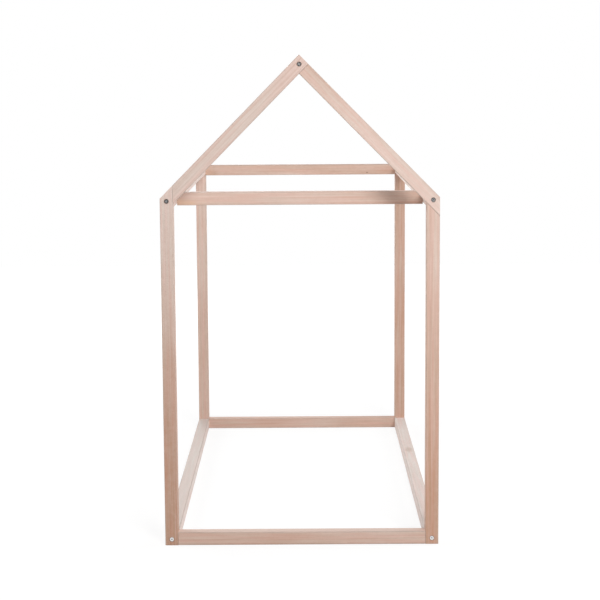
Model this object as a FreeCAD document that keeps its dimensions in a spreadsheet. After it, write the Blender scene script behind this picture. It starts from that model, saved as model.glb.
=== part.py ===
import FreeCAD, Part
import os

import Sketcher

# House frame bed: an open frame of square beech timbers round a mattress bay,
# with one gable of two rafters at the front.
#
# +X is to the right, -Y is the gable front and +Z is up. The origin lies on the
# floor, at the middle of the frame. Lengths are in millimetres.

SIZES = {
    # mattress and outline
    "mattress_width": 900,
    "mattress_length": 2000,
    "mattress_gap": 5,
    "overall_height": 1788,
    "eave_height": 1279,
    # timbers
    "timber": 48,
    "arris": 3,
    "cross_rail_setback": 200,
    "cross_rail_drop": 6,
    # connector bolts
    "bolt_diameter": 6,
    "bolt_hole": 7,
    "bolt_past_nut": 8,
    "bolt_hole_end": 3,
    "tip_taper": 1.2,
    "head_diameter": 17,
    "head_face": 14.6,
    "head_rim": 1.6,
    "head_bevel": 1,
    "socket_width": 4,
    "socket_mouth": 6,
    "socket_countersink": 0.7,
    "socket_depth": 4.2,
    "socket_point": 1.2,
    "recess_diameter": 18.6,
    "recess_depth": 3,
    # sleeve nut of the apex
    "sleeve_diameter": 8.5,
    "sleeve_length": 18,
    "sleeve_wall": 1,
    "sleeve_hole": 9.1,
    "apex_bolt_shank": 35,
    "thread_gap": 0.15,
    # barrel nuts
    "nut_diameter": 10,
    "nut_length": 16,
    "nut_hole": 10.6,
    "nut_setback": 30,
    "nut_slot_width": 1.2,
    "nut_slot_depth": 1.6,
    # wooden dowels
    "dowel_diameter": 8,
    "dowel_length": 30,
    "dowel_in_post": 12,
    "dowel_gap": 0.1,
    "dowel_end_gap": 1,
    # heights of bolts over the axis of the rail they enter
    "side_bolt_rise": -2,
    "end_bolt_rise": 10,
    "cross_bolt_rise": -11,
    "front_cross_bolt_rise": 2,
    # dowel axis to the nearest long face of the rail it enters
    "side_dowel_edge": 10,
    "end_dowel_edge": 12,
    "cross_dowel_edge": 12,
    "top_dowel_edge": 10,
}

# Lengths worked out from the driving sizes, as expressions on the sheet.
HALF_TIMBER = "(Sizes.timber / 2)"
HALF_INNER = "(Sizes.mattress_width / 2 + Sizes.mattress_gap)"
HALF_OUTER = f"({HALF_INNER} + Sizes.timber)"
POST_X = f"({HALF_INNER} + {HALF_TIMBER})"
HALF_BAY = "(Sizes.mattress_length / 2 + Sizes.mattress_gap)"
POST_Y = f"({HALF_BAY} + {HALF_TIMBER})"
SLOPE = f"((Sizes.overall_height - Sizes.eave_height) / {HALF_OUTER})"
PLUMB = f"(Sizes.timber * sqrt(1 + {SLOPE} ^ 2))"
EAVE_BOLT_Z = f"(Sizes.eave_height + {HALF_TIMBER} * {SLOPE} - {PLUMB} / 2)"
APEX_BOLT_Z = f"(Sizes.overall_height - {PLUMB} / 2)"
RAIL_TOP = f"({EAVE_BOLT_Z} + {HALF_TIMBER})"
CROSS_RAIL_Z = f"({EAVE_BOLT_Z} - Sizes.cross_rail_drop)"
FRONT_CROSS_Y = f"(Sizes.cross_rail_setback - {HALF_BAY} - {HALF_TIMBER})"
FRONT_CROSS_BOLT_RISE = "(Sizes.front_cross_bolt_rise - Sizes.cross_rail_drop)"
CROSS_FROM_END = f"(Sizes.cross_rail_setback - {HALF_TIMBER})"
BOLT_INTO_RAIL = "(Sizes.nut_setback + Sizes.bolt_past_nut)"

# Dowels: steps from the axis of the rail they enter, and their holes.
SIDE_DOWEL_RISE = f"({HALF_TIMBER} - Sizes.side_dowel_edge)"
END_DOWEL_RISE = f"(Sizes.end_dowel_edge - {HALF_TIMBER})"
CROSS_DOWEL_RISE = f"({HALF_TIMBER} - Sizes.cross_dowel_edge)"
TOP_DOWEL_STEP = f"({HALF_TIMBER} - Sizes.top_dowel_edge)"
DOWEL_HOLE = "(Sizes.dowel_diameter + 2 * Sizes.dowel_gap)"
DOWEL_IN_POST_HOLE = "(Sizes.dowel_in_post + Sizes.dowel_end_gap)"
DOWEL_IN_RAIL_HOLE = "(Sizes.dowel_length - Sizes.dowel_in_post + Sizes.dowel_end_gap)"

# Directions: local Z runs along a rail and local X points up.
UP = FreeCAD.Vector(0, 0, 1)
RIGHT = FreeCAD.Vector(1, 0, 0)
REARWARD = FreeCAD.Vector(0, 1, 0)
UPRIGHT = FreeCAD.Rotation()
TURNED = FreeCAD.Rotation(UP, 180)
ALONG_X = FreeCAD.Rotation(UP, -REARWARD, RIGHT, "ZXY")
ALONG_Y = FreeCAD.Rotation(UP, RIGHT, REARWARD, "ZXY")
TO_RIGHT = FreeCAD.Rotation(REARWARD, 90)
TO_REAR = FreeCAD.Rotation(RIGHT, -90)
TO_FRONT = FreeCAD.Rotation(RIGHT, 90)
QUARTER_TURN = FreeCAD.Rotation(UP, 90)

doc = FreeCAD.newDocument("HouseFrameBed")
sheet = doc.addObject("Spreadsheet::Sheet", "Sizes")
sub_parts = []


def fill_sheet():
    for row, (alias, size) in enumerate(SIZES.items(), start=1):
        sheet.set(f"A{row}", alias)
        sheet.set(f"B{row}", str(size))
        sheet.setAlias(f"B{row}", alias)
    doc.recompute()


def value(expression):
    return float(sheet.evalExpression(expression))


def place(item, position, rotation=UPRIGHT):
    item.Placement = FreeCAD.Placement(FreeCAD.Vector(), rotation)
    for axis, expression in zip("xyz", position):
        item.setExpression(f"Placement.Base.{axis}", expression)


# ---------------------------------------------------------------- sketches

def new_sketch(body, label, plane_role, offset):
    sketch = body.newObject("Sketcher::SketchObject", label)
    planes = [item for item in body.Origin.OriginFeatures if item.Role == plane_role]
    sketch.AttachmentSupport = [(planes[0], "")]
    sketch.MapMode = "FlatFace"
    sketch.setExpression("AttachmentOffset.Base.z", offset)
    return sketch


def pin_point(sketch, geometry, point, position):
    for kind, expression in zip(("DistanceX", "DistanceY"), position):
        constraint = Sketcher.Constraint(kind, -1, 1, geometry, point, value(expression))
        index = sketch.addConstraint(constraint)
        sketch.setExpression(f"Constraints[{index}]", expression)


def draw_polygon(sketch, corners):
    points = [FreeCAD.Vector(value(across), value(upward), 0) for across, upward in corners]
    count = len(points)
    for index in range(count):
        sketch.addGeometry(Part.LineSegment(points[index], points[(index + 1) % count]), False)
    for index, corner in enumerate(corners):
        following = (index + 1) % count
        sketch.addConstraint(Sketcher.Constraint("Coincident", index, 2, following, 1))
        pin_point(sketch, index, 1, corner)


def draw_circle(sketch, centre, diameter):
    middle = FreeCAD.Vector(value(centre[0]), value(centre[1]), 0)
    size = value(diameter)
    circle = sketch.addGeometry(Part.Circle(middle, FreeCAD.Vector(0, 0, 1), size / 2), False)
    index = sketch.addConstraint(Sketcher.Constraint("Diameter", circle, size))
    sketch.setExpression(f"Constraints[{index}]", diameter)
    pin_point(sketch, circle, 3, centre)


# ---------------------------------------------------------------- timber features

def new_body(label):
    body = doc.addObject("PartDesign::Body", label)
    body.Label = label
    sub_parts.append(body)
    return body


def pad_outline(body, corners, plane_role, offset, length):
    sketch = new_sketch(body, f"{body.Label}_outline", plane_role, offset)
    draw_polygon(sketch, corners)
    pad = body.newObject("PartDesign::Pad", f"{body.Label}_pad")
    pad.Profile = sketch
    pad.setExpression("Length", length)
    doc.recompute()
    return pad


def round_long_edges(body, feature, direction):
    names = []
    for index, edge in enumerate(feature.Shape.Edges, start=1):
        straight = isinstance(edge.Curve, Part.Line)
        if straight and edge.Curve.Direction.cross(direction).Length < 1e-6:
            names.append(f"Edge{index}")
    fillet = body.newObject("PartDesign::Fillet", f"{body.Label}_arrises")
    fillet.Base = (feature, names)
    fillet.setExpression("Radius", "Sizes.arris")
    doc.recompute()


def check_cut(body, feature, before):
    doc.recompute()
    if not body.Shape.Volume < before:
        raise RuntimeError(f"{feature.Label} cuts nothing")


def cut_outline(body, label, corners, depth, reverse, offset="0"):
    before = body.Shape.Volume
    sketch = new_sketch(body, f"{label}_outline", "XZ_Plane", offset)
    draw_polygon(sketch, corners)
    pocket = body.newObject("PartDesign::Pocket", label)
    pocket.Profile = sketch
    pocket.setExpression("Length", depth)
    pocket.Reversed = reverse
    check_cut(body, pocket, before)


def drill(body, label, plane_role, offset, centre, diameter, depth, reverse, recessed=False):
    """A round hole from a flat face; a recessed one takes a bolt head."""
    before = body.Shape.Volume
    sketch = new_sketch(body, f"{label}_centre", plane_role, offset)
    draw_circle(sketch, centre, diameter)
    doc.recompute()
    hole = body.newObject("PartDesign::Hole", label)
    hole.Profile = sketch
    hole.ThreadType = "None"
    hole.DepthType = "Dimension"
    hole.DrillPoint = "Flat"
    hole.Reversed = reverse
    hole.setExpression("Diameter", diameter)
    hole.setExpression("Depth", depth)
    if recessed:
        hole.HoleCutType = "Counterbore"
        hole.HoleCutCustomValues = True
        hole.setExpression("HoleCutDiameter", "Sizes.recess_diameter")
        hole.setExpression("HoleCutDepth", "Sizes.recess_depth")
    check_cut(body, hole, before)


# ---------------------------------------------------------------- timbers

BELOW = f"-{HALF_TIMBER}"
SQUARE = [(BELOW, BELOW), (HALF_TIMBER, BELOW), (HALF_TIMBER, HALF_TIMBER), (BELOW, HALF_TIMBER)]


def bevelled_section(side):
    """Section of a top side rail, its outer top edge cut to the roof slope."""
    outer = f"{side} * {HALF_TIMBER}"
    inner = f"-{side} * {HALF_TIMBER}"
    bevel_foot = f"{PLUMB} / 2 - {HALF_TIMBER} * {SLOPE}"
    bevel_head = f"{side} * ({PLUMB} / 2 - {HALF_TIMBER}) / {SLOPE}"
    return [(BELOW, inner),
            (BELOW, outer),
            (bevel_foot, outer),
            (HALF_TIMBER, bevel_head),
            (HALF_TIMBER, inner)]


def timber(label, section, length, position, rotation=UPRIGHT):
    """A timber with rounded long edges, its length along local Z."""
    body = new_body(label)
    pad = pad_outline(body, section, "XY_Plane", "0", length)
    round_long_edges(body, pad, UP)
    place(body, position, rotation)
    return body


def machine_rail_end(body, far, length, bolt_rise, dowel_at):
    """Bolt bore, dowel hole and barrel nut hole of one end of a rail."""
    end = "far" if far else "near"
    offset = length if far else "0"
    reverse = not far
    nut_place = f"({length} - Sizes.nut_setback)" if far else "Sizes.nut_setback"
    bore_depth = f"{BOLT_INTO_RAIL} + Sizes.bolt_hole_end"
    nut_depth = f"({HALF_TIMBER} + {bolt_rise} + Sizes.nut_length / 2)"
    name = f"{body.Label}_{end}"
    drill(body, f"{name}_bolt_bore", "XY_Plane", offset, (bolt_rise, "0"),
          "Sizes.bolt_hole", bore_depth, reverse)
    drill(body, f"{name}_dowel_hole", "XY_Plane", offset, dowel_at,
          DOWEL_HOLE, DOWEL_IN_RAIL_HOLE, reverse)
    drill(body, f"{name}_nut_hole", "YZ_Plane", BELOW, ("0", nut_place),
          "Sizes.nut_hole", nut_depth, True)


def rail(label, section, length, position, rotation, bolt_rise, dowel_at):
    """A rail with a bolt, a barrel nut and a dowel at both ends."""
    body = timber(label, section, length, position, rotation)
    for far in (False, True):
        machine_rail_end(body, far, length, bolt_rise, dowel_at)
    return body


def post_joint(body, label, along_x, face, height, dowel_at):
    """Bolt hole through a post from its outer face, dowel hole in the other."""
    plane_role = "YZ_Plane" if along_x else "XZ_Plane"
    toward = face if along_x else -face
    outer = f"{toward} * Sizes.timber / 2"
    inner = f"{-toward} * Sizes.timber / 2"
    drill(body, f"{label}_bolt_hole", plane_role, outer, ("0", height),
          "Sizes.bolt_hole", "Sizes.timber", toward < 0, recessed=True)
    drill(body, f"{label}_dowel_hole", plane_role, inner, dowel_at,
          DOWEL_HOLE, DOWEL_IN_POST_HOLE, toward > 0)


def bottom_post_joints(body, side, front):
    """Holes for the two bottom rails that meet at a post."""
    face = -1 if front else 1
    side_bolt = f"({HALF_TIMBER} + Sizes.side_bolt_rise)"
    side_dowel = f"({HALF_TIMBER} + {SIDE_DOWEL_RISE})"
    end_bolt = f"({HALF_TIMBER} + Sizes.end_bolt_rise)"
    end_dowel = f"({HALF_TIMBER} + {END_DOWEL_RISE})"
    post_joint(body, f"{body.Label}_side_rail", False, face, side_bolt, ("0", side_dowel))
    post_joint(body, f"{body.Label}_end_rail", True, side, end_bolt, ("0", end_dowel))


def roof_line(side, across, drop="0"):
    """Height of the roof over a post, or of a line below it by drop."""
    return f"Sizes.eave_height + ({HALF_TIMBER} - {side} * ({across})) * {SLOPE} - {drop}"


def above_roof(side, drop="0"):
    """Outline over the roof line of a post, or over a line below it by drop."""
    outside = f"{side} * Sizes.timber"
    inside = f"-{side} * Sizes.timber"
    top = roof_line(side, f"-{side} * 1.5 * Sizes.timber")
    return [(outside, roof_line(side, outside, drop)),
            (inside, roof_line(side, inside, drop)),
            (inside, top),
            (outside, top)]


def cut_to_roof(body, side):
    cut_outline(body, f"{body.Label}_top_cut", above_roof(side), "2 * Sizes.timber", False,
                "Sizes.timber")


def front_post(label, side, post_in_front):
    """A front post with its top cut to the roof slope and half lapped."""
    body = timber(label, SQUARE, roof_line(side, f"-{side} * {HALF_TIMBER}"),
                  (f"{side} * {POST_X}", f"-{POST_Y}", "0"))
    cut_to_roof(body, side)
    cut_outline(body, f"{label}_lap", above_roof(side, PLUMB), "Sizes.timber", not post_in_front)
    bottom_post_joints(body, side, True)
    drill(body, f"{label}_eave_bolt_hole", "XZ_Plane", HALF_TIMBER, ("0", EAVE_BOLT_Z),
          "Sizes.bolt_hole", "Sizes.timber", False, recessed=post_in_front)
    if not post_in_front:
        drill(body, f"{label}_top_dowel_hole", "XZ_Plane", BELOW,
              (f"-{side} * {TOP_DOWEL_STEP}", EAVE_BOLT_Z),
              DOWEL_HOLE, DOWEL_IN_POST_HOLE, True)


def rear_post(label, side):
    """A rear post, bevelled like the top side rail, with holes for four rails."""
    body = timber(label, SQUARE, RAIL_TOP, (f"{side} * {POST_X}", POST_Y, "0"))
    cut_to_roof(body, side)
    bottom_post_joints(body, side, False)
    post_joint(body, f"{label}_top_rail", False, 1, EAVE_BOLT_Z,
               (f"-{side} * {TOP_DOWEL_STEP}", EAVE_BOLT_Z))
    post_joint(body, f"{label}_cross_rail", True, side,
               f"{CROSS_RAIL_Z} + Sizes.cross_bolt_rise",
               ("0", f"{CROSS_RAIL_Z} + {CROSS_DOWEL_RISE}"))


def rafter(label, turned):
    """A rafter, half lapped in its rear half at the eave and front half at the apex.

    It is drawn as the left one; the right one is the same, turned about Z.
    """
    reach = f"({PLUMB} / (2 * {SLOPE}))"
    body = new_body(label)
    outline = [(f"-{HALF_OUTER}", f"Sizes.eave_height - {PLUMB}"),
               (reach, APEX_BOLT_Z),
               ("0", "Sizes.overall_height"),
               (f"-{HALF_OUTER}", "Sizes.eave_height")]
    pad = pad_outline(body, outline, "XZ_Plane", f"-{HALF_TIMBER}", "Sizes.timber")
    round_long_edges(body, pad, FreeCAD.Vector(1, 0, value(SLOPE)))
    eave_lap = [(f"-{HALF_OUTER} - Sizes.timber", f"Sizes.eave_height - 2 * {PLUMB}"),
                (f"-{HALF_INNER}", f"Sizes.eave_height - 2 * {PLUMB}"),
                (f"-{HALF_INNER}", f"Sizes.eave_height + 2 * {PLUMB}"),
                (f"-{HALF_OUTER} - Sizes.timber", f"Sizes.eave_height + 2 * {PLUMB}")]
    cut_outline(body, f"{label}_eave_lap", eave_lap, "Sizes.timber", True)
    above = f"Sizes.overall_height + {HALF_TIMBER}"
    below = f"Sizes.overall_height - {PLUMB} - {HALF_TIMBER}"
    apex_lap = [(f"-({PLUMB} + {HALF_TIMBER}) / {SLOPE}", above),
                (f"{HALF_TIMBER} / {SLOPE}", below),
                (f"3 * {PLUMB} / {SLOPE}", below),
                (f"3 * {PLUMB} / {SLOPE}", above)]
    cut_outline(body, f"{label}_apex_lap", apex_lap, "Sizes.timber", False)
    apex_hole = "Sizes.sleeve_hole" if turned else "Sizes.bolt_hole"
    drill(body, f"{label}_apex_hole", "XZ_Plane", HALF_TIMBER, ("0", APEX_BOLT_Z),
          apex_hole, "Sizes.timber", False, recessed=True)
    drill(body, f"{label}_eave_hole", "XZ_Plane", f"-{HALF_TIMBER}", (f"-{POST_X}", EAVE_BOLT_Z),
          "Sizes.bolt_hole", "Sizes.timber", True, recessed=turned)
    if turned:
        place(body, ("0", f"-{POST_Y}", "0"), TURNED)
    else:
        drill(body, f"{label}_top_dowel_hole", "XZ_Plane", BELOW,
              (f"-{POST_X} + {TOP_DOWEL_STEP}", EAVE_BOLT_Z),
              DOWEL_HOLE, DOWEL_IN_POST_HOLE, True)
        place(body, ("0", f"-{POST_Y}", "0"))


def top_side_rail(label, side):
    """A top side rail, with the bolt hole and dowel hole of the front cross rail."""
    body = rail(label, bevelled_section(side), f"2 * {HALF_BAY}",
                (f"{side} * {POST_X}", f"-{HALF_BAY}", EAVE_BOLT_Z), ALONG_Y,
                "0", ("0", f"-{side} * {TOP_DOWEL_STEP}"))
    drill(body, f"{label}_cross_bolt_hole", "XZ_Plane", f"{-side} * {HALF_TIMBER}",
          (FRONT_CROSS_BOLT_RISE, CROSS_FROM_END), "Sizes.bolt_hole", "Sizes.timber",
          side > 0, recessed=True)
    drill(body, f"{label}_cross_dowel_hole", "XZ_Plane", f"{side} * {HALF_TIMBER}",
          (FRONT_CROSS_BOLT_RISE, f"{CROSS_FROM_END} + {TOP_DOWEL_STEP}"),
          DOWEL_HOLE, DOWEL_IN_POST_HOLE, side < 0)


def make_timbers():
    end_length = f"2 * {HALF_INNER}"
    bay_length = f"2 * {HALF_BAY}"
    front_post("front_left_post", -1, post_in_front=True)
    front_post("front_right_post", 1, post_in_front=False)
    rear_post("rear_left_post", -1)
    rear_post("rear_right_post", 1)
    rafter("left_rafter", turned=False)
    rafter("right_rafter", turned=True)
    for name, side in (("left", -1), ("right", 1)):
        rail(f"{name}_bottom_rail", SQUARE, bay_length,
             (f"{side} * {POST_X}", f"-{HALF_BAY}", HALF_TIMBER), ALONG_Y,
             "Sizes.side_bolt_rise", (SIDE_DOWEL_RISE, "0"))
        top_side_rail(f"{name}_top_rail", side)
    for name, side in (("front", -1), ("rear", 1)):
        rail(f"{name}_bottom_rail", SQUARE, end_length,
             (f"-{HALF_INNER}", f"{side} * {POST_Y}", HALF_TIMBER), ALONG_X,
             "Sizes.end_bolt_rise", (END_DOWEL_RISE, "0"))
    rail("rear_cross_rail", SQUARE, end_length,
         (f"-{HALF_INNER}", POST_Y, CROSS_RAIL_Z), ALONG_X,
         "Sizes.cross_bolt_rise", (CROSS_DOWEL_RISE, "0"))
    rail("front_cross_rail", SQUARE, end_length,
         (f"-{HALF_INNER}", FRONT_CROSS_Y, CROSS_RAIL_Z), ALONG_X,
         "Sizes.front_cross_bolt_rise", ("Sizes.front_cross_bolt_rise", f"-{TOP_DOWEL_STEP}"))


# ---------------------------------------------------------------- hardware

def cylinder(label, diameter, length, start):
    item = doc.addObject("Part::Cylinder", label)
    item.setExpression("Radius", f"({diameter}) / 2")
    item.setExpression("Height", length)
    item.setExpression("Placement.Base.z", start)
    return item


def cone(label, start_diameter, end_diameter, length, start):
    item = doc.addObject("Part::Cone", label)
    item.setExpression("Radius1", f"({start_diameter}) / 2")
    item.setExpression("Radius2", f"({end_diameter}) / 2")
    item.setExpression("Height", length)
    item.setExpression("Placement.Base.z", start)
    return item


def fuse(label, items):
    item = doc.addObject("Part::MultiFuse", label)
    item.Shapes = items
    return item


def cut(label, base, tool):
    item = doc.addObject("Part::Cut", label)
    item.Base = base
    item.Tool = tool
    return item


def flat_head(label):
    """Disc with a bevelled rim, from the seat at z = 0 to its face below."""
    rim = cylinder(f"{label}_rim", "Sizes.head_diameter", "Sizes.head_rim", "-Sizes.head_rim")
    bevel = cone(f"{label}_bevel", "Sizes.head_face", "Sizes.head_diameter", "Sizes.head_bevel",
                 "-Sizes.head_rim - Sizes.head_bevel")
    return [rim, bevel]


def hex_socket(label):
    """Hexagon socket with a countersunk mouth and a drill point, to cut from a head."""
    face = "-Sizes.head_rim - Sizes.head_bevel"
    hexagon = doc.addObject("Part::Prism", f"{label}_hexagon")
    hexagon.Polygon = 6
    hexagon.setExpression("Circumradius", "Sizes.socket_width / sqrt(3)")
    hexagon.setExpression("Height", "Sizes.socket_depth")
    hexagon.setExpression("Placement.Base.z", face)
    mouth = cone(f"{label}_mouth", "Sizes.socket_mouth", "Sizes.socket_width",
                 "Sizes.socket_countersink", face)
    point = cone(f"{label}_point", "Sizes.socket_width", "0", "Sizes.socket_point",
                 f"{face} + Sizes.socket_depth")
    return fuse(f"{label}_socket", [hexagon, mouth, point])


def connector_bolt(label, shank):
    """Bolt along local Z, with the seat of its head at the origin."""
    straight = cylinder(f"{label}_shank", "Sizes.bolt_diameter", f"{shank} - Sizes.tip_taper", "0")
    tip = cone(f"{label}_tip", "Sizes.bolt_diameter", "Sizes.bolt_diameter - Sizes.tip_taper",
               "Sizes.tip_taper", f"{shank} - Sizes.tip_taper")
    solid = fuse(f"{label}_solid", flat_head(label) + [straight, tip])
    return cut(f"{label}_one", solid, hex_socket(label))


def sleeve_nut(label):
    """Flat-headed sleeve with a bore for the end of the apex bolt."""
    sleeve = cylinder(f"{label}_sleeve", "Sizes.sleeve_diameter", "Sizes.sleeve_length", "0")
    solid = fuse(f"{label}_solid", flat_head(label) + [sleeve])
    wall_start = "Sizes.socket_depth + Sizes.socket_point - Sizes.head_rim - Sizes.head_bevel"
    bore = cylinder(f"{label}_bore", "Sizes.bolt_diameter + 2 * Sizes.thread_gap",
                    "Sizes.sleeve_length", f"{wall_start} + Sizes.sleeve_wall")
    hollow = cut(f"{label}_hollow", solid, bore)
    return cut(f"{label}_one", hollow, hex_socket(label))


def barrel_nut(label, rotation):
    """Upright barrel with a cross bore for the bolt and a slot below."""
    barrel = cylinder(f"{label}_barrel", "Sizes.nut_diameter", "Sizes.nut_length",
                      "-Sizes.nut_length / 2")
    bore = cylinder(f"{label}_bore", "Sizes.bolt_diameter + 2 * Sizes.thread_gap",
                    "2 * Sizes.nut_diameter", "0")
    place(bore, ("-Sizes.nut_diameter", "0", "0"), TO_RIGHT)
    slot = doc.addObject("Part::Box", f"{label}_slot")
    slot.setExpression("Length", "2 * Sizes.nut_diameter")
    slot.setExpression("Width", "Sizes.nut_slot_width")
    slot.setExpression("Height", "Sizes.nut_slot_depth")
    place(slot, ("-Sizes.nut_diameter", "-Sizes.nut_slot_width / 2", "-Sizes.nut_length / 2"))
    item = cut(f"{label}_one", barrel, fuse(f"{label}_cuts", [bore, slot]))
    item.Placement = FreeCAD.Placement(FreeCAD.Vector(), rotation)
    return item


def mirrored_pair(label, item):
    """The left piece and its mirror image on the right, as one sub-part."""
    mirror = doc.addObject("Part::Mirroring", f"{label}_right")
    mirror.Source = item
    mirror.Normal = RIGHT
    pair = doc.addObject("Part::Compound", label)
    pair.Label = label
    pair.Links = [item, mirror]
    sub_parts.append(pair)


def shifted(position, axis, step):
    moved = list(position)
    moved[axis] = f"({moved[axis]} + {step})"
    return tuple(moved)


def bolted_joint(name, face, direction, dowel_axis, dowel_step):
    """Bolts, barrel nuts and dowels of a joint and its mirror image.

    face is where the left bolt enters the outer timber, and direction is x, y
    or -y, the way the bolt points. The dowel lies dowel_step along axis
    dowel_axis from the bolt.
    """
    axis = 0 if direction == "x" else 1
    sign = -1 if direction == "-y" else 1
    rotation = {"x": TO_RIGHT, "y": TO_REAR, "-y": TO_FRONT}[direction]
    bolt = connector_bolt(f"{name}_bolt", f"(Sizes.timber - Sizes.recess_depth + {BOLT_INTO_RAIL})")
    place(bolt, shifted(face, axis, f"{sign} * Sizes.recess_depth"), rotation)
    mirrored_pair(f"{name}_bolts", bolt)
    nut = barrel_nut(f"{name}_barrel_nut", UPRIGHT if axis == 0 else QUARTER_TURN)
    nut_at = shifted(face, axis, f"{sign} * (Sizes.timber + Sizes.nut_setback)")
    place(nut, nut_at, nut.Placement.Rotation)
    mirrored_pair(f"{name}_barrel_nuts", nut)
    pin = cylinder(f"{name}_dowel", "Sizes.dowel_diameter", "Sizes.dowel_length", "0")
    pin_at = shifted(face, axis, f"{sign} * (Sizes.timber - Sizes.dowel_in_post)")
    place(pin, shifted(pin_at, dowel_axis, dowel_step), rotation)
    mirrored_pair(f"{name}_dowels", pin)


def end_rail_joint(name, post_y, axis_height, bolt_rise, dowel_rise):
    bolted_joint(name, (f"-{HALF_OUTER}", post_y, f"{axis_height} + {bolt_rise}"), "x",
                 2, f"{dowel_rise} - {bolt_rise}")


def side_rail_joint(name, front):
    direction = "y" if front else "-y"
    face_y = f"{-1 if front else 1} * ({POST_Y} + {HALF_TIMBER})"
    bolted_joint(name, (f"-{POST_X}", face_y, f"{HALF_TIMBER} + Sizes.side_bolt_rise"), direction,
                 2, f"{SIDE_DOWEL_RISE} - Sizes.side_bolt_rise")


def top_rail_joint(name, front):
    direction = "y" if front else "-y"
    face_y = f"{-1 if front else 1} * ({POST_Y} + {HALF_TIMBER})"
    bolted_joint(name, (f"-{POST_X}", face_y, EAVE_BOLT_Z), direction, 0, TOP_DOWEL_STEP)


def apex_fastening():
    bolt = connector_bolt("apex_bolt", "Sizes.apex_bolt_shank")
    place(bolt, ("0", f"-{POST_Y} - {HALF_TIMBER} + Sizes.recess_depth", APEX_BOLT_Z), TO_REAR)
    nut = sleeve_nut("apex_sleeve_nut")
    place(nut, ("0", f"-{POST_Y} + {HALF_TIMBER} - Sizes.recess_depth", APEX_BOLT_Z), TO_FRONT)
    for label, item in (("apex_bolt", bolt), ("apex_sleeve_nut", nut)):
        item.Label = label
        sub_parts.append(item)


def make_hardware():
    apex_fastening()
    top_rail_joint("front_eave", True)
    top_rail_joint("rear_top_rail", False)
    side_rail_joint("front_foot", True)
    side_rail_joint("rear_foot", False)
    end_rail_joint("front_bottom_rail", f"-{POST_Y}", HALF_TIMBER,
                   "Sizes.end_bolt_rise", END_DOWEL_RISE)
    end_rail_joint("rear_bottom_rail", POST_Y, HALF_TIMBER,
                   "Sizes.end_bolt_rise", END_DOWEL_RISE)
    end_rail_joint("rear_cross_rail", POST_Y, CROSS_RAIL_Z,
                   "Sizes.cross_bolt_rise", CROSS_DOWEL_RISE)
    bolted_joint("front_cross_rail",
                 (f"-{HALF_OUTER}", FRONT_CROSS_Y, f"{EAVE_BOLT_Z} + {FRONT_CROSS_BOLT_RISE}"), "x",
                 1, TOP_DOWEL_STEP)


# ---------------------------------------------------------------- checks and files

def check_document():
    doc.recompute()
    for item in doc.Objects:
        if "Invalid" in item.State or "Error" in item.State:
            raise RuntimeError(f"{item.Label} is {item.State}")
    for item in sub_parts:
        if item.Shape.isNull() or not item.Shape.isValid():
            raise RuntimeError(f"{item.Label} has no valid shape")


def write_parts():
    os.makedirs("parts", exist_ok=True)
    for item in sub_parts:
        item.Shape.exportStep(f"parts/{item.Label}.step")


fill_sheet()
make_timbers()
make_hardware()
check_document()
write_parts()
print(len(sub_parts), "sub-parts written")
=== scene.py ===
import math

import bpy
from mathutils import Matrix, Vector

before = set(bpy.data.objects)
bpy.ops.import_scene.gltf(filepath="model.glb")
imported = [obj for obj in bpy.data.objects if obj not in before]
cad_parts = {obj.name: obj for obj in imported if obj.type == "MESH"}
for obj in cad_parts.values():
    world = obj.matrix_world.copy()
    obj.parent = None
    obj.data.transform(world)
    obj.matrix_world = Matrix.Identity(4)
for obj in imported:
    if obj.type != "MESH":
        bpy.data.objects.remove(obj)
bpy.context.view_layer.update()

# Camera: pixels of focal length on the 600 pixel frame, place in metres, turns in degrees.
IMAGE_WIDTH = 600
FOCAL_PIXELS = 1675
SENSOR_MM = 36
CAMERA_PLACE = (0.0099, -7.0519, 1.7187)
CAMERA_YAW = -0.109
CAMERA_PITCH = 7.68
CAMERA_ROLL = -0.352

# Lights: place, aim, width and height in metres, watts, colour.
LIGHTS = {
    "key_softbox": ((2.04, -6.57, 4.12), (0.0, -0.4, 0.9), 2.1, 2.1, 270, (1.0, 0.99, 0.98)),
    "front_softbox": ((0.9, -6.6, 3.0), (0.0, -0.4, 0.9), 1.2, 1.2, 30, (1.0, 1.0, 1.0)),
    "left_softbox": ((-3.8, 0.55, 1.7), (0.0, 0.55, 0.8), 2.9, 2.2, 94, (1.0, 1.0, 1.0)),
    "right_softbox": ((3.8, 0.55, 1.7), (0.0, 0.55, 0.8), 2.9, 2.2, 82, (1.0, 1.0, 1.0)),
    "bay_softbox": ((0.0, -0.6, 3.9), (0.0, 0.4, 0.0), 2.4, 0.8, 14, (1.0, 1.0, 1.0)),
    "rear_softbox": ((-1.2, 6.4, 2.0), (0.0, 0.4, 0.9), 2.4, 2.0, 80, (1.0, 1.0, 1.0)),
}

# Stage: the world's fill, then the floor and the dark sheet of painted reflection, with sizes and
# places in metres.
WORLD_FILL = 0.165
FLOOR_SIZE = 16
FLOOR_DROP = 0.0002
FLOOR_COLOUR = (0.70, 0.70, 0.70, 1)
SEEN_FLOOR_COLOUR = (0.2, 0.2, 0.2, 1)
FLOOR_ROUGHNESS = 0.9
FLOOR_GLOW = 0.84
# A dark sheet that only gloss shows: a painted dark reflection on the bolt heads.
REFLECTED_SHADE_COLOUR = (0.03, 0.03, 0.032, 1)
REFLECTED_SHADE_X = (-6.0, 1.4)
REFLECTED_SHADE_Y = -8.5
REFLECTED_SHADE_Z = (0.02, 4.2)

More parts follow.
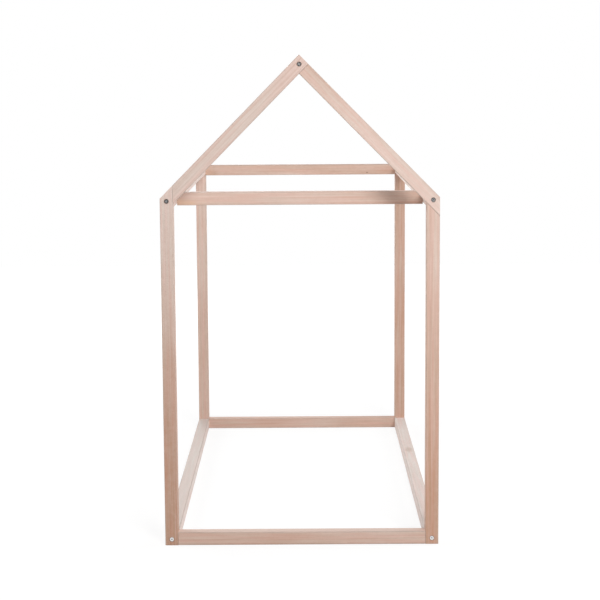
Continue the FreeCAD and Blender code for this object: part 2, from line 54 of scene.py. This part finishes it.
# Beech: colours are linear. Depth 0 is the pale wood and depth 1 the deep one.
PALE_BEECH = (0.74, 0.59, 0.515)
DEEP_BEECH = (0.55, 0.345, 0.25)
WHITE = (1, 1, 1, 1)
PINK_CAST = (1.03, 0.955, 0.95, 1)
FLECK_COLOUR = (0.36, 0.215, 0.145, 1)
END_GRAIN_COLOUR = (0.44, 0.285, 0.195, 1)
# Painted shade on the rounded long edges, together with their wear.
ARRIS_WEAR_AND_SHADE_COLOUR = (0.46, 0.375, 0.32, 1)
SCUFF_COLOUR = (0.30, 0.25, 0.22, 1)
KNOT_COLOUR = (0.16, 0.095, 0.065, 1)
BLEMISH_COLOUR = (0.46, 0.31, 0.22, 1)
# Painted sheen: a grey-white haze on the side rails.
PAINTED_SHEEN_COLOUR = (0.48, 0.42, 0.38, 1)
# Painted light: a paler top face, lit from above.
PAINTED_TOP_LIGHT_COLOUR = (0.70, 0.57, 0.51, 1)
# Painted warm bounce light and shade at the front cross rail's left end, near the rafter.
PAINTED_BOUNCE_LIGHT_COLOUR = (0.72, 0.45, 0.28, 1)
# Painted warm shade at the rear cross rail's left end, under the left rafter.
PAINTED_WARM_SHADE_COLOUR = (0.50, 0.28, 0.17, 1)
WOOD_ROUGHNESS = (0.54, 0.72)
END_ROUGHNESS = 0.12
WORN_ROUGHNESS = 0.06
WOOD_SPECULAR = 0.4
WOOD_BUMP = {"Strength": 0.35, "Distance": 0.00012}
PORE_RELIEF = 0.5
FLECK_RELIEF = 0.25

# Zinc plate.
COOL_ZINC = (0.70, 0.71, 0.74, 1)
WARM_ZINC = (0.78, 0.77, 0.74, 1)
SCRATCH_COLOUR = (0.45, 0.45, 0.46, 1)
# Painted shade in the sockets and other hollows of the zinc.
SOCKET_SHADE_COLOUR = (0.06, 0.06, 0.065, 1)
SOCKET_REACH = 0.006
SOCKET_SAMPLES = 8
ZINC_ROUGHNESS = (0.10, 0.22)
SCRATCH_ROUGHNESS = 0.10
ZINC_BUMP = {"Strength": 0.25, "Distance": 0.00002}

# Patterns: cells a metre along each axis, detail and roughness.
PATTERNS = {
    # Along the grain and across it.
    "wander": ((1.6, 5.0, 5.0), 1.0, 0.5),
    "patch": ((2.6, 9.0, 9.0), 2.0, 0.5),
    "cast": ((3.4, 75.0, 75.0), 2.0, 0.5),
    "band": ((2.8, 120.0, 120.0), 2.0, 0.5),
    "streak": ((7.0, 280.0, 280.0), 4.0, 0.62),
    "pores": ((60.0, 1900.0, 1900.0), 2.0, 0.5),
    "rubbed": ((18.0, 60.0, 60.0), 3.0, 0.5),
    # Along the grain, out from the pith and round it.
    "rings": ((0.0, 210.0, 4.0), 2.0, 0.6),
    "ripple": ((52.0, 46.0, 130.0), 2.0, 0.6),
    "rays": ((300.0, 110.0, 2400.0), 1.0, 0.5),
    # Along the axes of the whole bed.
    "grime": ((90.0, 90.0, 260.0), 3.0, 0.5),
    "cloud": ((220.0, 220.0, 220.0), 3.0, 0.5),
    "plating": ((2600.0, 2600.0, 2600.0), 2.0, 0.5),
    "scratch": ((900.0, 900.0, 9000.0), 1.0, 0.5),
    # In a mark's own measure, where its reach is 1.
    "mark_rim": ((1.3, 1.3, 1.3), 3.0, 0.5),
}

# Where a pattern or a distance in metres starts to show, and where it shows in full.
ARRIS = 0.003
LIMITS = {
    "rings": (0.50, 0.68),
    "rays": (0.56, 0.72),
    "pores": (0.60, 0.75),
    "cast": (0.38, 0.62),
    "mark": (1.15, 0.35),
    "end_grain": (0.35, 0.70),
    "arris": (1.2 * ARRIS, 0.3 * ARRIS),
    "rubbed": (0.35, 0.60),
    "foot": (0.006, 0.0),
    "grime": (0.35, 0.60),
    "cloud": (0.35, 0.65),
    "scratch": (0.62, 0.72),
    "open_zinc": (0.15, 0.75),
    "far_floor": (1.2, 3.5),
}

# How much a pattern varies the wood's depth, and how far a tint covers what it lies on.
DEPTH_SHARES = {"patch": 0.6, "band": 0.7, "streak": 0.8, "ripple": 1.3, "line": 0.22}
COVERS = {"pores": 0.25, "fleck": 0.34, "end": 0.55, "arris_wear_and_shade": 0.6, "scuff": 0.35, "scratch": 0.4}
WANDER = 0.012
MARK_UNEVENNESS = 0.9
LEAST_AND_MOST_RUBBED = (0.45, 1.0)
TIMBER_SHIFT = 3.7

# Each timber: depth of its colour at the low, left or front end, in the middle and at the
# other end, brightness, place of the log's pith from its axis, strength of flecks and ripple.
TIMBERS = {
    # Painted shade and sheen: the front posts are deeper towards the foot and paler towards the
    # top.
    "front_left_post": ((1.09, 0.77, -0.40), 0.96, (0.15, 0.02, 0.0), 1.0, 0.35),
    "front_right_post": ((1.05, 0.73, 0.35), 1.06, (-0.14, 0.04, 0.0), 0.4, 0.2),
    "rear_left_post": ((0.56, 0.46, 0.34), 1.005, (0.10, -0.12, 0.0), 0.5, 0.3),
    "rear_right_post": ((0.87, 0.84, 0.92), 0.98, (-0.16, 0.03, 0.0), 0.5, 0.2),
    "left_rafter": ((-0.05, 0.04, -0.08), 0.965, (0.05, 0.05, 0.12), 0.5, 0.2),
    "right_rafter": ((-0.12, 0.06, 0.54), 1.035, (0.08, 0.04, -0.09), 0.5, 0.3),
    "front_bottom_rail": ((0.64, 0.56, 0.47), 1.03, (0.0, 0.06, -0.12), 0.5, 0.2),
    "rear_bottom_rail": ((0.62, 0.62, 0.62), 1.045, (0.0, 0.14, -0.05), 0.5, 0.1),
    # Painted sheen: the side rails' depths below 0 make them paler and greyer than the pale wood.
    "left_bottom_rail": ((-0.72, -0.72, -0.68), 0.86, (0.05, 0.0, -0.14), 0.6, 0.3),
    "right_bottom_rail": ((-0.80, -0.77, -0.70), 0.82, (-0.15, 0.0, 0.04), 0.6, 0.3),
    "left_top_rail": ((-0.50, -0.50, -0.50), 0.98, (0.09, 0.0, 0.10), 0.6, 0.2),
    "right_top_rail": ((-0.30, -0.30, -0.30), 1.02, (-0.02, 0.0, 0.13), 0.6, 0.2),
    # Painted shadow: the front cross rail is deeper towards its right end, next to the right
    # rafter.
    "front_cross_rail": ((0.30, 0.24, 0.66), 1.04, (0.0, 0.06, 0.15), 0.4, 0.2),
    "rear_cross_rail": ((0.56, 0.60, 0.70), 1.055, (0.0, 0.14, -0.02), 0.4, 0.2),
}
DOWELS = ((0.30, 0.30, 0.30), 1.00, (0.0, 0.02, 0.03), 0.4, 0.2)
DOWEL_ENDING = "_dowels"
METAL_ENDINGS = ("_bolt", "_bolts", "_nut", "_nuts")

# Marks on the wood, a knot and a blemish but also patches of painted light, shade and sheen:
# timber, place, reach along each axis, colour and strength.
MARKS = [
    ("rear_cross_rail", (0.3202, 1.005, 1.2479), (0.0042, 0.004, 0.0036), KNOT_COLOUR, 0.85),
    ("right_bottom_rail", (0.4800, 0.3000, 0.048), (0.020, 0.060, 0.014), BLEMISH_COLOUR, 0.42),
    # Painted sheen along the left bottom rail's top.
    ("left_bottom_rail", (-0.4790, 0.0, 0.0500), (0.120, 3.000, 0.011), PAINTED_SHEEN_COLOUR, 0.50),
    # Painted light from above on the front bottom rail's top face.
    ("front_bottom_rail", (0.0, -1.029, 0.0500), (0.900, 0.060, 0.008), PAINTED_TOP_LIGHT_COLOUR, 0.55),
    # Painted warm bounce light and shade near the left rafter.
    ("front_cross_rail", (-0.4450, -0.853, 1.2440), (0.090, 0.060, 0.022), PAINTED_BOUNCE_LIGHT_COLOUR, 0.50),
    # Painted warm shade under the left rafter.
    ("rear_cross_rail", (-0.4400, 1.005, 1.2450), (0.060, 0.060, 0.030), PAINTED_WARM_SHADE_COLOUR, 0.50),
]

# Faces of a timber count as one direction when their normals agree to so many decimals, and as
# square when the product of their normals is under a limit. Its grain rises when Z is over one.
NORMAL_DECIMALS = 2
NEARLY_SQUARE = 0.05
RISING = 0.5


# ---------------------------------------------------------------- shader nodes

def add(tree, kind, inputs=None, **settings):
    """One shader node; an input is a number, a colour or another node's socket."""
    item = tree.nodes.new("ShaderNode" + kind)
    for name, setting in settings.items():
        setattr(item, name, setting)
    for key, source in (inputs or {}).items():
        if isinstance(source, bpy.types.NodeSocket):
            tree.links.new(source, item.inputs[key])
        else:
            item.inputs[key].default_value = source
    return item


def calc(tree, operation, *values):
    return add(tree, "Math", dict(enumerate(values)), operation=operation).outputs[0]


def vector_calc(tree, operation, *values, output=0):
    item = add(tree, "VectorMath", dict(enumerate(values)), operation=operation)
    return item.outputs[output]


def separate(tree, vector):
    return add(tree, "SeparateXYZ", {0: vector}).outputs


def spread(tree, source, low, high):
    """From 0 to 1 made into low to high."""
    return add(tree, "MapRange", {"Value": source, "To Min": low, "To Max": high}).outputs[0]


def step(tree, source, name):
    """0 before the named limits, 1 past them and smooth between; they may run downward."""
    start, full = LIMITS[name]
    inputs = {"Value": source, "From Min": start, "From Max": full}
    return add(tree, "MapRange", inputs, interpolation_type="SMOOTHSTEP").outputs[0]


def noise(tree, vector, name):
    """The named pattern, from 0 to 1."""
    cells, detail, roughness = PATTERNS[name]
    scaled = vector_calc(tree, "MULTIPLY", vector, cells)
    inputs = {"Vector": scaled, "Scale": 1.0, "Detail": detail, "Roughness": roughness}
    return add(tree, "TexNoise", inputs).outputs[0]


def vary(tree, total, source, amount):
    """The total plus a share of a pattern, taken about its middle of one half."""
    return calc(tree, "MULTIPLY_ADD", calc(tree, "SUBTRACT", source, 0.5), amount, total)


def mix_colour(tree, factor, first, second):
    inputs = {0: factor, 6: first, 7: second}
    return add(tree, "Mix", inputs, data_type="RGBA", clamp_factor=False).outputs[2]


def tint(tree, colour, amount, cover, second):
    """The colour, covered that far by a second one where the amount is 1."""
    return mix_colour(tree, calc(tree, "MULTIPLY", amount, cover), colour, second)


def new_material(name):
    material = bpy.data.materials.new(name)
    material.use_nodes = True
    tree = material.node_tree
    tree.nodes.clear()
    shader = add(tree, "BsdfPrincipled")
    output = add(tree, "OutputMaterial")
    tree.links.new(shader.outputs[0], output.inputs[0])
    return material, tree, shader


def finish_surface(tree, shader, colour, rough, relief, bump_settings):
    """Link the colour, the roughness and a bump from the relief to the shader."""
    bump = add(tree, "Bump", {"Height": relief, **bump_settings})
    tree.links.new(colour, shader.inputs["Base Color"])
    tree.links.new(rough, shader.inputs["Roughness"])
    tree.links.new(bump.outputs[0], shader.inputs["Normal"])


def wear(node_name, material):
    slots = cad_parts[node_name].data.materials
    slots.clear()
    slots.append(material)


# ---------------------------------------------------------------- beech

def timber_frame(item):
    """Matrix with the grain as X and the two long faces as Y and Z, and half the extents."""
    mesh = item.data
    areas = {}
    for face in mesh.polygons:
        key = tuple(round(abs(part), NORMAL_DECIMALS) for part in face.normal)
        areas.setdefault(key, [0.0, face.normal.copy()])[0] += face.area
    normals = [normal for _, normal in sorted(areas.values(), key=lambda entry: -entry[0])]
    first = normals[0].normalized()
    second = next(normal for normal in normals if abs(normal.dot(first)) < NEARLY_SQUARE)
    second = (second - first * second.dot(first)).normalized()
    grain = first.cross(second)
    # The grain points up, or to the right or the back where the timber lies.
    forward = grain.z if abs(grain.z) > RISING else grain.x + grain.y
    if forward < 0:
        second = -second
        grain = -grain
    axes = [grain, first, second]
    middle = Vector()
    halves = []
    for axis in axes:
        along = [axis.dot(vertex.co) for vertex in mesh.vertices]
        middle += axis * (min(along) + max(along)) / 2
        halves.append((max(along) - min(along)) / 2)
    return Matrix.Translation(middle) @ Matrix(axes).transposed().to_4x4(), halves


def log_coordinates(tree, shifted, pith):
    """Along the grain, out from the pith and round it, with a slow wander."""
    from_pith = vector_calc(tree, "SUBTRACT", shifted, (0, pith[1], pith[2]))
    flat = vector_calc(tree, "MULTIPLY", from_pith, (0, 1, 1))
    radius = vector_calc(tree, "LENGTH", flat, output="Value")
    radius = calc(tree, "MULTIPLY_ADD", noise(tree, shifted, "wander"), WANDER, radius)
    along, side, face = separate(tree, from_pith)
    turn = calc(tree, "ARCTAN2", face, side)
    around = calc(tree, "MULTIPLY", turn, math.hypot(pith[1], pith[2]))
    return add(tree, "CombineXYZ", {0: along, 1: radius, 2: around}).outputs[0]


def depth_along(tree, local, half_length, depths):
    """The wood's depth along the grain, by way of its depth in the middle; on some timbers this
    paints light and shade along their length.
    """
    low, middle, high = depths
    along = separate(tree, local)[0]
    lower = {"From Min": -half_length, "From Max": 0.0, "To Min": low, "To Max": middle}
    upper = {"From Min": 0.0, "From Max": half_length, "To Min": 0.0, "To Max": high - middle}
    parts = [add(tree, "MapRange", {"Value": along, **part}).outputs[0] for part in (lower, upper)]
    return calc(tree, "ADD", *parts)


def shade(colour, brightness):
    return tuple(part * brightness for part in colour) + (1,)


def mark_wood(tree, colour, place, centre, reach, mark_colour, strength):
    """A soft spot with an uneven rim round a place on the timber, for knots and blemishes and for
    patches of painted light, shade and sheen.
    """
    offset = vector_calc(tree, "SUBTRACT", place, centre)
    scaled = vector_calc(tree, "DIVIDE", offset, reach)
    distance = vector_calc(tree, "LENGTH", scaled, output="Value")
    distance = vary(tree, distance, noise(tree, scaled, "mark_rim"), MARK_UNEVENNESS)
    return tint(tree, colour, step(tree, distance, "mark"), strength, mark_colour)


def end_grain(tree, grain_axis):
    """1 on the faces that cut across the grain."""
    normal = add(tree, "NewGeometry").outputs["Normal"]
    facing = vector_calc(tree, "DOT_PRODUCT", normal, grain_axis, output="Value")
    return step(tree, calc(tree, "ABSOLUTE", facing), "end_grain")


def arris_wear_and_shade_mask(tree, local, shifted, halves):
    """1 on the long edges where they are rubbed most: the mask of their wear and of the shade
    painted on them.
    """
    _, side, face = separate(tree, vector_calc(tree, "ABSOLUTE", local))
    from_side = calc(tree, "SUBTRACT", halves[1], side)
    from_face = calc(tree, "SUBTRACT", halves[2], face)
    edge = step(tree, calc(tree, "MAXIMUM", from_side, from_face), "arris")
    rubbed = step(tree, noise(tree, shifted, "rubbed"), "rubbed")
    return calc(tree, "MULTIPLY", edge, spread(tree, rubbed, *LEAST_AND_MOST_RUBBED))


def scuffed_foot(tree, place):
    """1 in the grimy places of what stands on the floor."""
    low = step(tree, separate(tree, place)[2], "foot")
    return calc(tree, "MULTIPLY", low, step(tree, noise(tree, place, "grime"), "grime"))


def beech(name, item, wood, seed):
    """Pale beech: growth rings, pores, ray flecks, end grain, arrises with wear and painted shade,
    and scuffed feet; some depths and marks paint light and shade.
    """
    depths, brightness, pith, fleck_strength, ripple_strength = wood
    material, tree, shader = new_material("beech_" + name)
    matrix, halves = timber_frame(item)
    turn = matrix.to_3x3()
    place = add(tree, "TexCoord").outputs["Object"]
    to_local = {"Vector": place, "Location": matrix.to_translation(), "Rotation": matrix.to_euler()}
    local = add(tree, "Mapping", to_local, vector_type="TEXTURE").outputs[0]
    shifted = vector_calc(tree, "ADD", local, (seed * TIMBER_SHIFT, 0, 0))
    log = log_coordinates(tree, shifted, turn.transposed() @ Vector(pith))

    streak = noise(tree, shifted, "streak")
    pores = noise(tree, shifted, "pores")
    ripple = noise(tree, log, "ripple")
    line = step(tree, noise(tree, log, "rings"), "rings")
    rays = step(tree, noise(tree, log, "rays"), "rays")
    fleck = calc(tree, "MULTIPLY", rays, fleck_strength)
    end = end_grain(tree, tuple(turn.col[0]))
    arris_wear_and_shade = arris_wear_and_shade_mask(tree, local, shifted, halves)

    depth = depth_along(tree, local, halves[0], depths)
    depth = vary(tree, depth, noise(tree, shifted, "patch"), DEPTH_SHARES["patch"])
    depth = vary(tree, depth, noise(tree, shifted, "band"), DEPTH_SHARES["band"])
    depth = vary(tree, depth, streak, DEPTH_SHARES["streak"])
    depth = vary(tree, depth, ripple, DEPTH_SHARES["ripple"] * ripple_strength)
    depth = vary(tree, depth, line, DEPTH_SHARES["line"])
    pale, deep = shade(PALE_BEECH, brightness), shade(DEEP_BEECH, brightness)
    cast = step(tree, noise(tree, shifted, "cast"), "cast")
    pink = mix_colour(tree, cast, WHITE, PINK_CAST)
    colour = vector_calc(tree, "MULTIPLY", mix_colour(tree, depth, pale, deep), pink)
    colour = tint(tree, colour, step(tree, pores, "pores"), COVERS["pores"], FLECK_COLOUR)
    colour = tint(tree, colour, fleck, COVERS["fleck"], FLECK_COLOUR)
    for timber, *mark in MARKS:
        if timber == name:
            colour = mark_wood(tree, colour, place, *mark)
    colour = tint(tree, colour, end, COVERS["end"], END_GRAIN_COLOUR)
    # Painted shade and wear on the rounded long edges.
    colour = tint(tree, colour, arris_wear_and_shade, COVERS["arris_wear_and_shade"], ARRIS_WEAR_AND_SHADE_COLOUR)
    colour = tint(tree, colour, scuffed_foot(tree, place), COVERS["scuff"], SCUFF_COLOUR)

    rough = spread(tree, streak, *WOOD_ROUGHNESS)
    rough = calc(tree, "MULTIPLY_ADD", end, END_ROUGHNESS, rough)
    rough = calc(tree, "MULTIPLY_ADD", arris_wear_and_shade, WORN_ROUGHNESS, rough)
    relief = calc(tree, "MULTIPLY_ADD", pores, PORE_RELIEF, streak)
    relief = calc(tree, "MULTIPLY_ADD", fleck, FLECK_RELIEF, relief)
    finish_surface(tree, shader, colour, rough, relief, WOOD_BUMP)
    shader.inputs["Specular IOR Level"].default_value = WOOD_SPECULAR
    return material


# ---------------------------------------------------------------- metal

def zinc(name):
    """Bright zinc plate with a fine grain, clouding, small scratches, and sockets and hollows
    painted dark as shade.
    """
    material, tree, shader = new_material(name)
    place = add(tree, "TexCoord").outputs["Object"]
    cloud = noise(tree, place, "cloud")
    scratch = step(tree, noise(tree, place, "scratch"), "scratch")
    colour = mix_colour(tree, step(tree, cloud, "cloud"), COOL_ZINC, WARM_ZINC)
    colour = tint(tree, colour, scratch, COVERS["scratch"], SCRATCH_COLOUR)
    # Painted shade: the sockets and other hollows are darkened by how closed in they are.
    openness = add(tree, "AmbientOcclusion", {"Distance": SOCKET_REACH}, only_local=True,
                   samples=SOCKET_SAMPLES).outputs["AO"]
    colour = mix_colour(tree, step(tree, openness, "open_zinc"), SOCKET_SHADE_COLOUR, colour)
    rough = spread(tree, cloud, *ZINC_ROUGHNESS)
    rough = calc(tree, "MULTIPLY_ADD", scratch, SCRATCH_ROUGHNESS, rough)
    finish_surface(tree, shader, colour, rough, noise(tree, place, "plating"), ZINC_BUMP)
    shader.inputs["Metallic"].default_value = 1.0
    return material


# ---------------------------------------------------------------- stage

def make_sheet(name, corners, material):
    mesh = bpy.data.meshes.new(name)
    mesh.from_pydata(corners, [], [(0, 1, 2, 3)])
    mesh.materials.append(material)
    sheet = bpy.data.objects.new(name, mesh)
    bpy.context.collection.objects.link(sheet)
    return sheet


def seen_rays(tree):
    """1 for the rays that show the studio as a picture, 0 for those that light things."""
    rays = add(tree, "LightPath").outputs
    seen = calc(tree, "MAXIMUM", rays["Is Camera Ray"], rays["Is Glossy Ray"])
    return calc(tree, "MAXIMUM", seen, rays["Is Transmission Ray"])


def make_floor():
    """White paper that keeps the shadow of the frame, and glows more far from it."""
    material, tree, shader = new_material("floor_paper")
    # The glow is only there to be seen: sampled as a lamp, it would make the object grainy.
    material.cycles.emission_sampling = "NONE"
    seen = seen_rays(tree)
    paper = mix_colour(tree, seen, FLOOR_COLOUR, SEEN_FLOOR_COLOUR)
    tree.links.new(paper, shader.inputs["Base Color"])
    shader.inputs["Roughness"].default_value = FLOOR_ROUGHNESS
    shader.inputs["Specular IOR Level"].default_value = 0.0
    place = add(tree, "TexCoord").outputs["Object"]
    distance = vector_calc(tree, "LENGTH", place, output="Value")
    glow = spread(tree, step(tree, distance, "far_floor"), FLOOR_GLOW, 1.0)
    emission = add(tree, "Emission", {"Strength": calc(tree, "MULTIPLY", seen, glow)})
    both = add(tree, "AddShader", {0: shader.outputs[0], 1: emission.outputs[0]})
    output = next(item for item in tree.nodes if item.type == "OUTPUT_MATERIAL")
    tree.links.new(both.outputs[0], output.inputs[0])
    half = FLOOR_SIZE / 2
    square = ((-half, -half), (half, -half), (half, half), (-half, half))
    make_sheet("floor", [(x, y, -FLOOR_DROP) for x, y in square], material)


def make_reflected_shade_sheet():
    """A dark sheet behind the camera that only gloss shows: a painted dark reflection on the bolt
    heads, in place of the unlit studio.
    """
    material, _, shader = new_material("reflected_shade_sheet_material")
    shader.inputs["Base Color"].default_value = REFLECTED_SHADE_COLOUR
    shader.inputs["Roughness"].default_value = 1.0
    (left, right), (low, high) = REFLECTED_SHADE_X, REFLECTED_SHADE_Z
    upright = ((left, low), (right, low), (right, high), (left, high))
    corners = [(x, REFLECTED_SHADE_Y, z) for x, z in upright]
    sheet = make_sheet("reflected_shade_sheet", corners, material)
    sheet.visible_camera = False
    sheet.visible_diffuse = False
    sheet.visible_transmission = False
    sheet.visible_shadow = False


def make_world():
    """An even fill for the object, and white wherever it is seen."""
    world = bpy.data.worlds.new("studio")
    bpy.context.scene.world = world
    world.use_nodes = True
    tree = world.node_tree
    tree.nodes.clear()
    strength = spread(tree, seen_rays(tree), WORLD_FILL, 1.0)
    sky = add(tree, "Background", {"Color": WHITE, "Strength": strength})
    output = add(tree, "OutputWorld")
    tree.links.new(sky.outputs[0], output.inputs[0])


def make_lights():
    for name, (place, aim, width, height, watts, colour) in LIGHTS.items():
        data = bpy.data.lights.new(name, "AREA")
        data.shape = "RECTANGLE"
        data.size = width
        data.size_y = height
        data.energy = watts
        data.color = colour
        lamp = bpy.data.objects.new(name, data)
        lamp.location = place
        lamp.rotation_euler = (Vector(aim) - Vector(place)).to_track_quat("-Z", "Y").to_euler()
        lamp.visible_camera = False
        bpy.context.collection.objects.link(lamp)


def make_camera():
    data = bpy.data.cameras.new("camera")
    data.sensor_width = SENSOR_MM
    data.lens = FOCAL_PIXELS / IMAGE_WIDTH * SENSOR_MM
    camera = bpy.data.objects.new("camera", data)
    turn = Matrix.Rotation(-math.radians(CAMERA_YAW), 4, "Z")
    tilt = Matrix.Rotation(math.radians(90 - CAMERA_PITCH), 4, "X")
    roll = Matrix.Rotation(math.radians(CAMERA_ROLL), 4, "Z")
    camera.matrix_world = Matrix.Translation(CAMERA_PLACE) @ turn @ tilt @ roll
    bpy.context.collection.objects.link(camera)
    bpy.context.scene.camera = camera


# ---------------------------------------------------------------- making

bpy.context.scene.view_settings.view_transform = "Standard"
make_camera()
make_world()
make_lights()
make_floor()
# The dark sheet paints a dark reflection into the metal and is seen nowhere else.
make_reflected_shade_sheet()

for seed, (name, wood) in enumerate(TIMBERS.items()):
    wear(name, beech(name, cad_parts[name], wood, seed))

zinc_plate = zinc("zinc_plate")
for name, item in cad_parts.items():
    if name.endswith(METAL_ENDINGS):
        wear(name, zinc_plate)
    elif name.endswith(DOWEL_ENDING):
        wear(name, beech(name, item, DOWELS, len(TIMBERS)))
